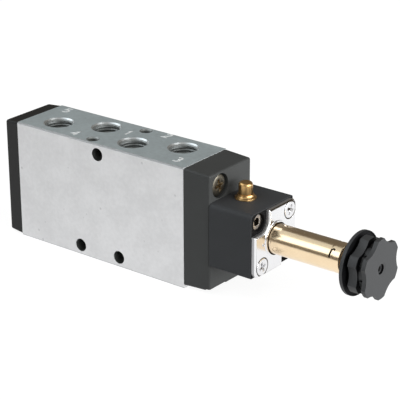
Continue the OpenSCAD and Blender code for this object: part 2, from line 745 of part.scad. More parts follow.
module flange_plate_screws() {
    head_h = plate_head_r - small_shank_r;
    color("#d4d5d8") for (p = plate_screw_yz) {
        rod(plate_x1 - head_h - plate_thread_l, plate_x1 - head_h + eps, small_shank_r, p[0], p[1]);
        cone(plate_x1 - head_h, plate_x1, small_shank_r, plate_head_r, p[0], p[1]);
        cone(plate_x1 - eps, plate_x1 + 0.15, plate_head_r, plate_head_r - 0.5, p[0], p[1]);
    }
}

module armature_tube() {
    flange_x = block_x1 - tube_flange_t;
    lip = 0.35;
    g = groove_w / 2;
    color("#cfa64e") turned([[tube_bore_r, flange_x], [tube_flange_r, flange_x],
        [tube_flange_r, block_x1], [tube_r, block_x1],
        [tube_r, groove_x - g], [tube_r - groove_depth, groove_x - g / 2],
        [tube_r - groove_depth, groove_x + g / 2], [tube_r, groove_x + g],
        [tube_r, tube_x1 - lip], [tube_r - lip, tube_x1], [tube_bore_r, tube_x1],
        [tube_bore_r, groove_x + g], [tube_bore_r - groove_depth, groove_x + g / 2],
        [tube_bore_r - groove_depth, groove_x - g / 2], [tube_bore_r, groove_x - g]]);
}

module tube_seal() {
    color("#1f1f20") ring_seal(flange_pocket_x + tube_seal_cord + 0.05, tube_flange_r - tube_seal_cord,
        tube_seal_cord);
}

module fixed_core() {
    r = tube_bore_r - seat_gap;
    g = groove_w / 2 + 0.3;
    color("#a98b4c") turned([[vent_r, core_x0], [r - 0.5, core_x0], [r, core_x0 + 0.5],
        [r, groove_x - g], [r - groove_depth - 0.05, groove_x - g / 2],
        [r - groove_depth - 0.05, groove_x + g / 2], [r, groove_x + g],
        [r, tube_x1], [neck_r, tube_x1 + 0.25], [neck_r, nut_x0 - 0.3], [neck_r - 0.3, nut_x0],
        [stud_r, nut_x0], [stud_r, stud_x1 - 0.5], [stud_r - 0.5, stud_x1], [vent_r, stud_x1]]);
}

module override_bush() {
    brim_top = block_top + brim_h;
    inner = button_r + run_gap;
    lip = 0.35;
    color("#d0a850") translate([button_at_x, 0, 0]) rotate_extrude() difference() {
        polygon([[inner, block_top - bush_l], [bush_r, block_top - bush_l], [bush_r, block_top],
            [brim_r, block_top], [brim_r, block_top + lip], [inner + 0.3, brim_top], [inner, brim_top]]);
        translate([brim_r + 0.35, brim_top + 0.1]) circle(r = brim_h - lip + 0.1);
    }
}

module spool() {
    p = chamber_pitch;
    s = spool_stroke;
    l = land_lap;
    c = 0.4;
    nose_x0 = spring_pocket_x + spool_stroke + free_gap + 0.1;
    edges = [[-2.5 * p + s + l, -1.5 * p + s - l], [-0.5 * p + l, 0.5 * p + s - l],
        [1.5 * p + l, 2.5 * p - l]];
    color("#c6c8ca") turned(concat(
        [[0, nose_x0], [spool_nose_r - c, nose_x0], [spool_nose_r, nose_x0 + c],
            [spool_nose_r, spool_shoulder_x], [land_r, spool_shoulder_x]],
        [for (e = edges) each [[land_r, e[0] - c], [waist_r, e[0] + c],
            [waist_r, e[1] - c], [land_r, e[1] + c]]],
        [[land_r, spool_x1 - c], [land_r - c, spool_x1], [0, spool_x1]]));
}

module pilot_piston() {
    r = piston_bore_r - run_gap;
    mid = (piston_x0 + piston_x1) / 2;
    g = piston_ring_r + 0.05;
    root = piston_bore_r - 2 * piston_ring_r - 0.05;
    color("#e3dfd2") turned([[0, spool_x1], [piston_nose_r, spool_x1], [piston_nose_r, piston_x0],
        [r, piston_x0], [r, mid - g], [root - run_gap, mid - g], [root - run_gap, mid + g],
        [r, mid + g], [r, piston_x1], [0, piston_x1]]);
}

module piston_seal() {
    color("#1f1f20") ring_seal((piston_x0 + piston_x1) / 2, piston_bore_r - piston_ring_r - run_gap,
        piston_ring_r);
}

module return_spring() {
    color("#9ea3a8") translate([spring_pocket_x, 0, axis_z]) rotate([0, 90, 0])
        coil_spring(return_mean_r, return_wire_r, spool_shoulder_x - spring_pocket_x, return_turns);
}

module plunger() {
    c = 0.4;
    slot_w = 1.2;
    slot_depth = 0.7;
    color("#a7abaf") difference() {
        turned([[0, plunger_x0 + seat_depth], [seat_r + seat_gap, plunger_x0 + seat_depth],
            [seat_r + seat_gap, plunger_x0], [plunger_r - c, plunger_x0], [plunger_r, plunger_x0 + c],
            [plunger_r, plunger_x1 - c], [plunger_r - c, plunger_x1],
            [plunger_pocket_r, plunger_x1], [plunger_pocket_r, plunger_x1 - plunger_pocket_l],
            [0, plunger_x1 - plunger_pocket_l]]);
        for (s = [-1, 1]) translate([plunger_x0 - eps, s > 0 ? plunger_r - slot_depth : -plunger_r - 1,
            axis_z - slot_w / 2]) cube([plunger_l + 2 * eps, slot_depth + 1, slot_w]);
    }
}

module plunger_seat() {
    color("#5d2f2a") rod(plunger_x0 - seat_reach, plunger_x0 + seat_depth, seat_r);
}

module plunger_spring() {
    x0 = plunger_x1 - plunger_pocket_l;
    color("#9ea3a8") translate([x0, 0, axis_z]) rotate([0, 90, 0])
        coil_spring(plunger_spring_r, plunger_wire_r, core_x0 - x0, 8);
}

module override_button() {
    stem_z0 = button_hole_z + button_stroke + 0.4;
    top = block_top + button_h;
    neck_r = button_shoulder_r - 0.75;
    mid = button_shoulder_z + button_shoulder_h / 2;
    ring = 0.35;
    color("#d8b25c") translate([button_at_x, 0, 0]) rotate_extrude() union() {
        polygon([[0, stem_z0], [button_stem_r, stem_z0], [button_stem_r, button_shoulder_z],
            [button_shoulder_r, button_shoulder_z], [button_shoulder_r, mid - ring], [neck_r, mid - ring],
            [neck_r, mid + ring], [button_shoulder_r, mid + ring],
            [button_shoulder_r, button_shoulder_z + button_shoulder_h],
            [button_r, button_shoulder_z + button_shoulder_h], [button_r, top - button_round],
            [button_r - button_round, top], [0, top]]);
        intersection() {
            translate([button_r - button_round, top - button_round]) circle(r = button_round);
            square([button_r, top]);
        }
    }
}

module override_seal() {
    cord = 0.33;
    color("#1f1f20") translate([button_at_x, 0, button_shoulder_z + button_shoulder_h / 2])
        rotate_extrude() translate([bush_r - cord - run_gap, 0]) circle(r = cord, $fn = 24);
}

module override_spring() {
    color("#9ea3a8") translate([button_at_x, 0, button_hole_z])
        coil_spring(button_stem_r + free_gap + override_wire_r, override_wire_r,
            button_shoulder_z - button_hole_z, 4);
}

// Disc along X whose rim has concave scallops between its lobes
module lobed_disc(x0, x1, tip_r) {
    half = 180 / nut_lobes * scallop_share;
    chord_half = tip_r * sin(half);
    scallop_r = (chord_half * chord_half + scallop_depth * scallop_depth) / 2 / scallop_depth;
    reach = tip_r * cos(half) - scallop_depth + scallop_r;
    difference() {
        rod(x0, x1, tip_r);
        for (i = [0:nut_lobes - 1]) {
            a = nut_lobe_angle + 360 * (i + 0.5) / nut_lobes;
            rod(x0 - eps, x1 + eps, scallop_r, reach * cos(a), axis_z + reach * sin(a));
        }
    }
}

module coil_nut() {
    color("#4a4c4e") difference() {
        union() {
            rod(nut_x0, nut_x0 + nut_flange_t, nut_flange_r);
            rod(nut_x0 + nut_flange_t - eps, nut_ring_x + eps, nut_core_r);
            lobed_disc(nut_ring_x, nut_waist_x, nut_ring_r);
            rod(nut_waist_x - eps, nut_front_x + eps, nut_waist_r);
            lobed_disc(nut_front_x, nut_x1, nut_front_r);
        }
        rod(nut_x0 - eps, stud_x1 + stud_room, stud_r + run_gap);
        rod(nut_x0, nut_x1 + eps, nut_vent_r);
        cone(nut_x1 - dish_depth, nut_x1 + eps, 1.3, dish_r);
        for (i = [0:drain_count - 1]) translate([(nut_waist_x + nut_front_x) / 2, 0, axis_z])
            rotate([360 * (i + 0.5) / drain_count, 0, 0]) translate([0, 0, nut_waist_r - 0.8])
            cylinder(h = 2, r = drain_r);
    }
}

valve_body();
spacer_cages();
spool_seals();
spring_bush();
piston_bush();
spring_end_cap();
spring_cap_seal();
spring_cap_screws();
pilot_end_cap();
pilot_cap_seal();
pilot_cap_screws();
pilot_block();
pilot_port_seal();
pilot_block_screws();
pilot_nozzle();
flange_plate();
flange_plate_screws();
armature_tube();
tube_seal();
fixed_core();
override_bush();
spool();
pilot_piston();
piston_seal();
return_spring();
plunger();
plunger_seat();
plunger_spring();
override_button();
override_seal();
override_spring();
coil_nut();
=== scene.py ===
import json
import math

import bmesh
import bpy
from mathutils import Matrix, Vector


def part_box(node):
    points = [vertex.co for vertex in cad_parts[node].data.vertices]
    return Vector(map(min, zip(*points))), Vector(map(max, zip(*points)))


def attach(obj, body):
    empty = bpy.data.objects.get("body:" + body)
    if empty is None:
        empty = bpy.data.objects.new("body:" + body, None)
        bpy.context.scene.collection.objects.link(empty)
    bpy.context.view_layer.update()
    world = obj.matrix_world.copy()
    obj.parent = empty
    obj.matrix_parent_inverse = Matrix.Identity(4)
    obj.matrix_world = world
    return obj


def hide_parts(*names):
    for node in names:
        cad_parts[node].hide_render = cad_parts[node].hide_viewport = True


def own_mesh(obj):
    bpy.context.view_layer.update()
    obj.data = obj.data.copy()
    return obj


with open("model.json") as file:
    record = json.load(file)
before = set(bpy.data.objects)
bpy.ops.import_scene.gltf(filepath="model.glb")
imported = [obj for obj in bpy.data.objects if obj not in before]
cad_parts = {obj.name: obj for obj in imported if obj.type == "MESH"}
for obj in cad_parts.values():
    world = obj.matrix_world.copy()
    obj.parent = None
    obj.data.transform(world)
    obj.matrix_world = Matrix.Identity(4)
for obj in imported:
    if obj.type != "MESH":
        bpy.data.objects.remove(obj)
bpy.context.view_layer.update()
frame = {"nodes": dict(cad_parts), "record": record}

# A millimetre in metres, and a small tolerance in millimetres
MM = 0.001
NEAR = 0.02

# Places along the valve, in millimetres
BODY_X = 34.5
CAP_X0 = -40.3
CAP_X1 = 44.2
BLOCK_X1 = 59.9
PLATE_X1 = 61.4
COLLAR_X1 = 61.75
GROOVE_X0 = 83.3
GROOVE_X1 = 84.1
TUBE_X1 = 86.8
NUT_X0 = 90.2
NUT_X1 = 98.4

# Half the body's width, and heights, in millimetres
BODY_Y = 11.0
BASE_Z = -3.4
AXIS_Z = 17.1
BLOCK_TOP = 27.4
TOP_Z = 36.6

# Places of the cap screws and of the block's corner screws, and a counterbore's radius, in millimetres
CAP_SCREW_Y = 5.2
CAP_SCREW_RISE = 14.4
CORNER = 7.0
COUNTERBORE = 2.8

# Ports and tapped holes, and each thread's wall, crest, pitch, top and bottom, in millimetres
PORTS = {"port_5": (-23.4, -3), "port_4": (-8.1, 3), "port_2": (8.1, -3), "port_3": (23.4, 3)}
PORT_THREAD = (4.57, 4.2, 0.907, -0.43, -8.4)
TAPPED_X = 4.25
TAPPED_Y = 8.0
TAPPED_THREAD = (1.77, 1.55, 0.7, -0.4, -6.5)
MOUTH = 0.45

# The port numbers' depth, size, half stroke and places, in millimetres
SCRIBE = 0.05
NUMBER_SIZE = 2.1
NUMBER_HALF_STROKE = 0.33
NUMBER_PLACES = {
    "5": (-29.3, 7.6), "4": (-12.2, -7.2), "1": (1.1, 3.1), "2": (12.8, 8.6), "3": (28.8, -6.0)}

# The strokes of each number, for a size of 1
DIGITS = {
    "1": [[(0.15, 1.25), (0.5, 1.6), (0.5, 0)]],
    "2": [[(0.03, 1.25), (0.2, 1.53), (0.5, 1.6), (0.82, 1.48), (0.92, 1.18), (0.78, 0.85), (0, 0),
           (0.98, 0)]],
    "3": [[(0.05, 1.45), (0.35, 1.6), (0.7, 1.52), (0.86, 1.22), (0.7, 0.93), (0.38, 0.86)],
          [(0.38, 0.86), (0.75, 0.76), (0.93, 0.45), (0.75, 0.1), (0.4, 0), (0.03, 0.14)]],
    "4": [[(0.98, 0.5), (0, 0.5), (0.7, 1.6), (0.7, 0)]],
    "5": [[(0.88, 1.6), (0.16, 1.6), (0.08, 0.88), (0.42, 1.0), (0.78, 0.88), (0.93, 0.52), (0.76, 0.12),
           (0.4, 0), (0.03, 0.14)]],
}

# Radii of the plate's collar, the tube and its groove's floor, which is drawn shallower, in millimetres
COLLAR_R = 5.6
TUBE_R = 4.75
GROOVE_R = 4.5
GROOVE_DRAWN_R = 4.7

# The stake mark's place, floor, half stroke and line in millimetres, and its turn in degrees
STAKE_X = 83.8
STAKE_R = 4.38
STAKE_HALF_STROKE = 0.3
STAKE_ANGLE = 57.0
STAKE_LINE = [(0.75, 1.1), (0.1, 1.35), (-0.4, 0.9), (-0.55, -0.5), (-0.45, -1.4)]

# The point that the lights face, and half the floor's side, in metres
MIDDLE = Vector((0.025, 0, 0.017))
FLOOR_HALF = 0.34


class Wire:
    """A socket of a finish, for sums written as Python expressions."""

    def __init__(self, finish, socket):
        self.finish = finish
        self.socket = socket

    def math(self, operation, first, second):
        return self.finish.node("ShaderNodeMath", {"operation": operation}, {0: first, 1: second})

    def __add__(self, other):
        return self.math("ADD", self, other)

    def __radd__(self, other):
        return self.math("ADD", other, self)

    def __sub__(self, other):
        return self.math("SUBTRACT", self, other)

    def __rsub__(self, other):
        return self.math("SUBTRACT", other, self)

    def __mul__(self, other):
        return self.math("MULTIPLY", self, other)

    def __rmul__(self, other):
        return self.math("MULTIPLY", other, self)


class Finish:
    """A material or world built from nodes."""

    def __init__(self, owner):
        owner.use_nodes = True
        self.owner = owner
        self.nodes = owner.node_tree.nodes
        self.links = owner.node_tree.links
        self.nodes.clear()

    def node(self, kind, settings=None, sockets=None, out=0):
        """Adds a node, with its settings first and then its sockets' values or links."""
        made = self.nodes.new(kind)
        for name, value in (settings or {}).items():
            setattr(made, name, value)
        for name, value in (sockets or {}).items():
            if isinstance(value, Wire):
                self.links.new(value.socket, made.inputs[name])
            else:
                made.inputs[name].default_value = value
        return Wire(self, made.outputs[out])

    def ray(self, kind):
        """1 for rays of one kind and 0 for all others."""
        return self.node("ShaderNodeLightPath", out=f"Is {kind} Ray")

    def place(self, stretch=(1, 1, 1)):
        """Position on the piece in millimetres, stretched along its axes."""
        where = self.node("ShaderNodeTexCoord", out=3)
        scale = [s / MM for s in stretch]
        return self.node("ShaderNodeVectorMath", {"operation": "MULTIPLY"}, {0: where, 1: scale})

    def noise(self, size, detail, stretch=(1, 1, 1), rough=0.5):
        """Soft noise from 0 to 1 with features of a size in millimetres."""
        return self.node("ShaderNodeTexNoise", {}, {
            "Vector": self.place(stretch), "Scale": 1 / size, "Detail": detail, "Roughness": rough})

    def ramp(self, value, low, high):
        """Eases value from low..high into 0..1."""
        return self.node("ShaderNodeMapRange", {"interpolation_type": "SMOOTHSTEP"}, {
            0: value, 1: low, 2: high, 3: 0.0, 4: 1.0})

    def between(self, share, first, second):
        """Colour that goes from first to second."""
        return self.node("ShaderNodeMix", {"data_type": "RGBA"}, {
            0: share, 6: rgba(first), 7: rgba(second)}, out=2)

    def bump(self, height, depth):
        """Normal from a height of 0 to 1 that stands for depth millimetres."""
        return self.node("ShaderNodeBump", {}, {
            "Height": height, "Distance": depth * MM, "Strength": 1.0})

    def surface(self, **sockets):
        """Ends the material with one Principled shader."""
        named = {name.replace("_", " "): rgba(value) if name == "Base_Color" else value
                 for name, value in sockets.items()}
        self.end(self.node("ShaderNodeBsdfPrincipled", {}, named))
        return self.owner

    def end(self, shader, kind="ShaderNodeOutputMaterial"):
        """Links the last shader to the output."""
        last = self.nodes.new(kind)
        self.links.new(shader.socket, last.inputs["Surface"])


def rgba(colour):
    """A colour with its alpha, or a wire as it is."""
    return colour if isinstance(colour, Wire) else (*colour, 1.0)


def new_finish(name):
    """A finish without nodes yet, on its own material."""
    return Finish(bpy.data.materials.new(f"{name}_finish"))


def shade(colour, share):
    """A colour made darker or lighter by a share."""
    return tuple(c * share for c in colour)


def body_metal(name, colour, rough):
    """Matt aluminium with faint clouds and a few pits."""
    f = new_finish(name)
    cloud = f.noise(9, 4, rough=0.6)
    mottle = f.noise(1.4, 3)
    grain = f.noise(0.16, 2)
    cell = f.node("ShaderNodeTexVoronoi", {"feature": "F1"}, {"Vector": f.place(), "Scale": 1 / 6.0})
    chip = f.noise(0.5, 2)
    speck = 1 - f.ramp(cell + chip * 0.05, 0.06, 0.12)
    drift = f.ramp(cloud * 0.6 + mottle * 0.4, 0.3, 0.7)
    tone = f.between(drift, shade(colour, 0.93), shade(colour, 1.05))
    tone = f.between(speck * 0.35, tone, shade(colour, 0.45))
    return f.surface(
        Base_Color=tone, Metallic=0.85, Roughness=rough + 0.1 * mottle,
        Normal=f.bump(grain * 0.7 + mottle * 0.3 - speck * 0.4, 0.02))


def body_aluminium():
    return body_metal("body_aluminium", (0.8, 0.8, 0.81), 0.5)


# The body's top and bottom: milled aluminium, darker and bluer than the sides as painted shade and a
# painted cool reflection.
def milled_shade_aluminium():
    return body_metal("milled_shade_aluminium", (0.685, 0.77, 0.805), 0.52)


# Aluminium darkened as painted shade on the body's long edge chamfers, to hold back their highlight.
def edge_shade_aluminium():
    return body_metal("edge_shade_aluminium", (0.5, 0.51, 0.52), 0.6)


def machined_aluminium():
    """Bright turned metal of the ports' mouths."""
    f = new_finish("machined_aluminium")
    colour = (0.82, 0.86, 0.88)
    turn = f.noise(0.3, 2, stretch=(0.2, 0.2, 4))
    tone = f.between(turn, shade(colour, 0.86), colour)
    return f.surface(
        Base_Color=tone, Metallic=1.0, Roughness=0.34 + 0.12 * turn, Normal=f.bump(turn, 0.01))


def scribed_mark():
    """Pale fresh cut of the port numbers."""
    f = new_finish("scribed_mark")
    burr = f.noise(0.12, 3)
    tone = f.between(burr, (0.9, 0.92, 0.92), (0.98, 0.99, 0.99))
    return f.surface(
        Base_Color=tone, Metallic=0.0, Roughness=0.5 + 0.2 * burr, Normal=f.bump(burr, 0.02))


def moulded_black(name, colour, rough, texture, gloss):
    """Black moulded plastic with a fine texture and faint flow marks."""
    f = new_finish(name)
    flow = f.noise(7, 3, stretch=(0.5, 1, 1))
    fine = f.noise(texture, 3)
    dust = f.ramp(f.noise(0.9, 4, rough=0.7), 0.6, 0.8)
    tone = f.between(flow, shade(colour, 0.85), shade(colour, 1.15))
    tone = f.between(dust * 0.25, tone, shade(colour, 2.2))
    return f.surface(
        Base_Color=tone, Metallic=0.0, Roughness=rough + 0.1 * (flow - 0.5) + 0.06 * dust,
        Specular_IOR_Level=gloss, Normal=f.bump(fine, 0.012))


def cap_plastic():
    return moulded_black("cap_plastic", (0.055, 0.057, 0.057), 0.5, 0.12, 0.28)


def spring_cap_plastic():
    return moulded_black("spring_cap_plastic", (0.018, 0.018, 0.018), 0.5, 0.12, 0.25)


def block_plastic():
    return moulded_black("block_plastic", (0.056, 0.058, 0.062), 0.56, 0.2, 0.15)


# Near-black plastic painted as shade on the pilot block's face and counterbores and in the nut's slot,
# waist and vent.
def painted_shade_plastic():
    return moulded_black("painted_shade_plastic", (0.006, 0.006, 0.007), 0.6, 0.1, 0.1)


def nut_plastic():
    return moulded_black("nut_plastic", (0.05, 0.051, 0.054), 0.5, 0.1, 0.4)


def bright_zinc(name, colour, rough):
    """Bright plating with faint clouds and hairline scratches."""
    f = new_finish(name)
    cloud = f.noise(3.5, 3)
    hair = f.noise(0.25, 2, stretch=(1, 6, 0.35))
    tone = f.between(cloud, shade(colour, 0.95), colour)
    return f.surface(
        Base_Color=tone, Metallic=1.0, Roughness=rough + 0.08 * cloud, Normal=f.bump(hair, 0.004))


def plate_zinc():
    return bright_zinc("plate_zinc", (0.93, 0.93, 0.945), 0.16)


def plate_screw_zinc():
    return bright_zinc("plate_screw_zinc", (0.9, 0.9, 0.915), 0.2)


def brass(name, colour, rough, stretch, depth, dull=0.3, lacquer=0.0):
    """Turned or drawn brass with marks along its making and a few dull clouds."""
    f = new_finish(name)
    marks = f.noise(0.3, 3, stretch=stretch)
    tarnish = f.ramp(f.noise(5, 4, rough=0.6), 0.45, 0.75)
    tone = f.between(marks, shade(colour, 0.93), colour)
    tone = f.between(tarnish * dull, tone, (0.62, 0.42, 0.2))
    return f.surface(
        Base_Color=tone, Metallic=1.0, Roughness=rough + 0.06 * marks + 0.08 * dull * tarnish,
        Coat_Weight=lacquer, Coat_Roughness=0.12, Normal=f.bump(marks, depth))


def tube_brass():
    return brass(
        "tube_brass", (0.98, 0.77, 0.51), 0.17, (0.06, 1.5, 1.5), 0.0015, dull=0.12, lacquer=0.7)


def button_brass():
    return brass("button_brass", (0.7, 0.44, 0.19), 0.26, (0.5, 0.5, 3), 0.006)


def cage_brass():
    return brass("cage_brass", (0.68, 0.54, 0.3), 0.3, (3, 0.5, 0.5), 0.006)


def core_metal():
    return brass("core_metal", (0.9, 0.7, 0.45), 0.3, (3, 0.4, 0.4), 0.006)


def steel(name, colour, rough, stretch=(1, 1, 1), stain=(0.3, 0.26, 0.2)):
    """Steel, zinc plating or cut aluminium, with brushing and a faint stain."""
    f = new_finish(name)
    lines = f.noise(0.25, 3, stretch=stretch)
    spots = f.ramp(f.noise(1.3, 4, rough=0.65), 0.5, 0.8)
    tone = f.between(lines, shade(colour, 0.88), colour)
    tone = f.between(spots * 0.4, tone, stain)
    return f.surface(
        Base_Color=tone, Metallic=1.0, Roughness=rough + 0.1 * lines + 0.1 * spots,
        Normal=f.bump(lines, 0.006))


def dark_screw_steel():
    return steel("dark_screw_steel", (0.17, 0.155, 0.125), 0.36, stain=(0.1, 0.08, 0.05))


def socket_screw_steel():
    return steel("socket_screw_steel", (0.56, 0.52, 0.48), 0.28)


# Aluminium darkened as painted shade in the body's bores and on the tapped holes' threads.
def bore_shade_aluminium():
    return steel("bore_shade_aluminium", (0.24, 0.25, 0.245), 0.5, stain=(0.13, 0.13, 0.125))


# Aluminium darkened as painted shade, for the port threads and the tapped holes' mouths.
def thread_shade_aluminium():
    return steel("thread_shade_aluminium", (0.4, 0.42, 0.42), 0.5, stain=(0.2, 0.2, 0.2))


def sheared_zinc():
    return steel("sheared_zinc", (0.5, 0.5, 0.51), 0.42, (0.3, 3, 3), (0.5, 0.5, 0.5))


def notch_zinc():
    return steel("notch_zinc", (0.8, 0.8, 0.81), 0.4, (0.3, 3, 3), (0.66, 0.66, 0.66))


# Pale brassy metal painted as glints in the cap screws' cross recesses.
def painted_glint_metal():
    return steel("painted_glint_metal", (0.36, 0.29, 0.19), 0.32, stain=(0.12, 0.09, 0.05))


# Dark metal painted as shade in screw recesses, the collar seam, the plate's countersinks and the stake
# mark.
def painted_shade_metal():
    return steel("painted_shade_metal", (0.07, 0.055, 0.04), 0.5, stain=(0.04, 0.03, 0.02))


def plunger_steel():
    return steel("plunger_steel", (0.6, 0.61, 0.63), 0.25, (4, 0.5, 0.5))


def spring_steel():
    return steel("spring_steel", (0.55, 0.57, 0.6), 0.28)


def spool_aluminium():
    return steel("spool_aluminium", (0.76, 0.77, 0.79), 0.16, (4, 0.4, 0.4), (0.6, 0.6, 0.6))


def rubber(name, colour):
    """Moulded rubber with a dull bloom."""
    f = new_finish(name)
    bloom = f.noise(2, 4)
    skin = f.noise(0.15, 2)
    tone = f.between(bloom, colour, shade(colour, 1.6))
    return f.surface(
        Base_Color=tone, Metallic=0.0, Roughness=0.55 + 0.15 * bloom, Normal=f.bump(skin, 0.01))


def seal_rubber():
    return rubber("seal_rubber", (0.018, 0.018, 0.019))


def seat_rubber():
    return rubber("seat_rubber", (0.16, 0.05, 0.035))


def bush_plastic():
    """Pale moulded plastic with faint flow marks."""
    f = new_finish("bush_plastic")
    flow = f.noise(4, 3)
    fine = f.noise(0.3, 2)
    tone = f.between(flow, (0.68, 0.65, 0.57), (0.78, 0.76, 0.69))
    return f.surface(
        Base_Color=tone, Metallic=0.0, Roughness=0.38 + 0.08 * flow, Normal=f.bump(fine, 0.008))


finishes = {make.__name__: make() for make in (
    body_aluminium, milled_shade_aluminium, edge_shade_aluminium, machined_aluminium, scribed_mark, notch_zinc,
    painted_shade_plastic, cap_plastic, spring_cap_plastic, block_plastic, nut_plastic, plate_zinc,
    plate_screw_zinc, tube_brass, button_brass, cage_brass, core_metal, dark_screw_steel,
    bore_shade_aluminium, thread_shade_aluminium, sheared_zinc, painted_glint_metal, painted_shade_metal, socket_screw_steel,
    plunger_steel, spring_steel, spool_aluminium, seal_rubber, seat_rubber, bush_plastic)}
slots = {entry["node"]: entry["material_slot"] for entry in frame["record"]["subparts"]}


def body_of(node):
    """The body that carries a CAD node."""
    bodies = frame["record"]["behaviour"]["bodies"]
    return next(name for name, nodes in bodies.items() if node in nodes)


def linked(name, data):
    """A new object in the scene."""
    thing = bpy.data.objects.new(name, data)
    bpy.context.scene.collection.objects.link(thing)
    return thing


def add_piece(name, mesh, node, finish=None):
    """Adds a mesh as a piece on a CAD node's body and in its slot, in the slot's finish or another."""
    body = body_of(node)
    slot = slots[node]
    piece = linked(name, mesh)
    mesh.materials.clear()
    mesh.materials.append(finishes[finish or slot])
    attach(piece, body)
    return piece


def mesh_from(name, bm):
    """A mesh from a bmesh, which is used up."""
    mesh = bpy.data.meshes.new(name)
    bm.to_mesh(mesh)
    bm.free()
    return mesh


def solid_from(name, bm, place=Matrix()):
    """A mesh from a closed bmesh with its faces turned outwards, moved to its place."""
    bmesh.ops.recalc_face_normals(bm, faces=bm.faces)
    bm.transform(place)
    return mesh_from(name, bm)


def joined(name, meshes):
    """One mesh from several."""
    bm = bmesh.new()
    for mesh in meshes:
        bm.from_mesh(mesh)
    return mesh_from(name, bm)


def settle(piece):
    """Makes a piece's modifiers part of its mesh."""
    bpy.context.view_layer.update()
    shown = piece.evaluated_get(bpy.context.evaluated_depsgraph_get())
    mesh = bpy.data.meshes.new_from_object(shown)
    piece.modifiers.clear()
    piece.data = mesh


def smooth(piece, angle=32):
    """Smooth shading with crisp corners, weighted so that flats stay flat."""
    piece.data.shade_smooth()
    piece.data.set_sharp_from_angle(angle=math.radians(angle))
    weigh = piece.modifiers.new("flats", "WEIGHTED_NORMAL")
    weigh.keep_sharp = True
    settle(piece)


def ease(piece, width, **limits):
    """Rounds the edges that the limits choose, by a width in millimetres."""
    bevel = piece.modifiers.new("ease", "BEVEL")
    bevel.width = width * MM
    bevel.segments = 2
    for name, value in limits.items():
        setattr(bevel, name, value)
    settle(piece)


def cut(piece, cutter):
    """Takes a cutter's shape out of a piece and removes the cutter."""
    knife = piece.modifiers.new("cut", "BOOLEAN")
    knife.operation = "DIFFERENCE"
    knife.solver = "EXACT"
    knife.use_self = True
    knife.object = cutter
    settle(piece)
    bpy.data.objects.remove(cutter)


def paint(piece, finish, choose):
    """Another finish for the faces that choose picks by their middle, in millimetres."""
    piece.data.materials.append(finishes[finish])
    last = len(piece.data.materials) - 1
    for face in piece.data.polygons:
        if choose(face.center / MM):
            face.material_index = last


def clean_copy(node):
    """A CAD node's mesh with its flats in one piece each."""
    bm = bmesh.new()
    bm.from_mesh(frame["nodes"][node].data)
    bmesh.ops.remove_doubles(bm, verts=bm.verts, dist=0.0005 * MM)
    bmesh.ops.dissolve_limit(bm, angle_limit=math.radians(0.4), verts=bm.verts, edges=bm.edges)
    plain = bmesh.new()
    verts = [plain.verts.new(v.co) for v in bm.verts]
    bm.verts.index_update()
    for face in bm.faces:
        plain.faces.new([verts[v.index] for v in face.verts])
    bm.free()
    plain.normal_update()
    return plain


def eased_copy(node, name, width, picks, cutters=(), angle=32, reshape=None, finish=None):
    """Stands for a CAD node, with the sharp edges that picks chooses eased."""
    bm = clean_copy(node)
    for v in bm.verts if reshape else ():
        v.co = reshape(v.co / MM) * MM
    weight = bm.edges.layers.float.new("bevel_weight_edge")
    for edge in bm.edges:
        sharp = edge.is_manifold and edge.calc_face_angle(0) > math.radians(25)
        edge[weight] = 1.0 if sharp and all(picks(v.co / MM) for v in edge.verts) else 0.0
    piece = add_piece(name, mesh_from(name, bm), node, finish)
    for cutter in cutters:
        cut(piece, cutter)
    ease(piece, width, limit_method="WEIGHT", use_clamp_overlap=False)
    smooth(piece, angle)
    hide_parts(node)
    return piece


def on_box(node, axes):
    """Chooses the points on a node's outer box, on its faces across the given axes."""
    low, high = (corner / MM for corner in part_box(node))
    return lambda p: any(min(p[i] - low[i], high[i] - p[i]) < NEAR for i in axes)


def from_axis(p):
    """Distance of a point from the valve's long axis."""
    return math.hypot(p.y, p.z - AXIS_Z)


def from_corner(p):
    """Distance of a point from the nearest corner screw's axis."""
    return math.hypot(abs(p.y) - CORNER, abs(p.z - AXIS_Z) - CORNER)


def from_tapped_hole(p):
    """Distance of a point from the nearest tapped hole's axis."""
    return min(math.hypot(p.x - side * TAPPED_X, p.y - side * TAPPED_Y) for side in (-1, 1))


def facing_x(x, y, z, facing=1):
    """Frame with local +Z along facing X, at a point in millimetres."""
    turn = Matrix.Rotation(facing * math.pi / 2, 4, "Y")
    return Matrix.Translation(Vector((x, y, z)) * MM) @ turn


def turned(name, outline, place):
    """Mesh of revolution about the local Z axis, from (radius, height) points in millimetres."""
    steps = 64
    bm = bmesh.new()
    rings = []
    for radius, height in outline:
        rings.append([bm.verts.new((
            radius * MM * math.cos(2 * math.pi * i / steps),
            radius * MM * math.sin(2 * math.pi * i / steps), height * MM))
            for i in range(steps if radius else 1)])
    for lower, upper in zip(rings, rings[1:]):
        for i in range(steps):
            j = (i + 1) % steps
            corners = list(dict.fromkeys((
                lower[i % len(lower)], lower[j % len(lower)],
                upper[j % len(upper)], upper[i % len(upper)])))
            if len(corners) > 2:
                bm.faces.new(corners)
    bmesh.ops.remove_doubles(bm, verts=bm.verts, dist=0.0005 * MM)
    return solid_from(name, bm, place)


def turned_cutter(name, outline, x):
    """Turned cutter on the valve's long axis, at a place along it."""
    return linked(name, turned(name, outline, facing_x(x, 0, AXIS_Z)))


def wrap(bm, rings):
    """Skin over a row of rings, closed at both ends."""
    for near, far in zip(rings, rings[1:]):
        for i in range(len(near)):
            j = (i + 1) % len(near)
            bm.faces.new([near[i], near[j], far[j], far[i]])
    bm.faces.new(rings[0])
    bm.faces.new(list(reversed(rings[-1])))


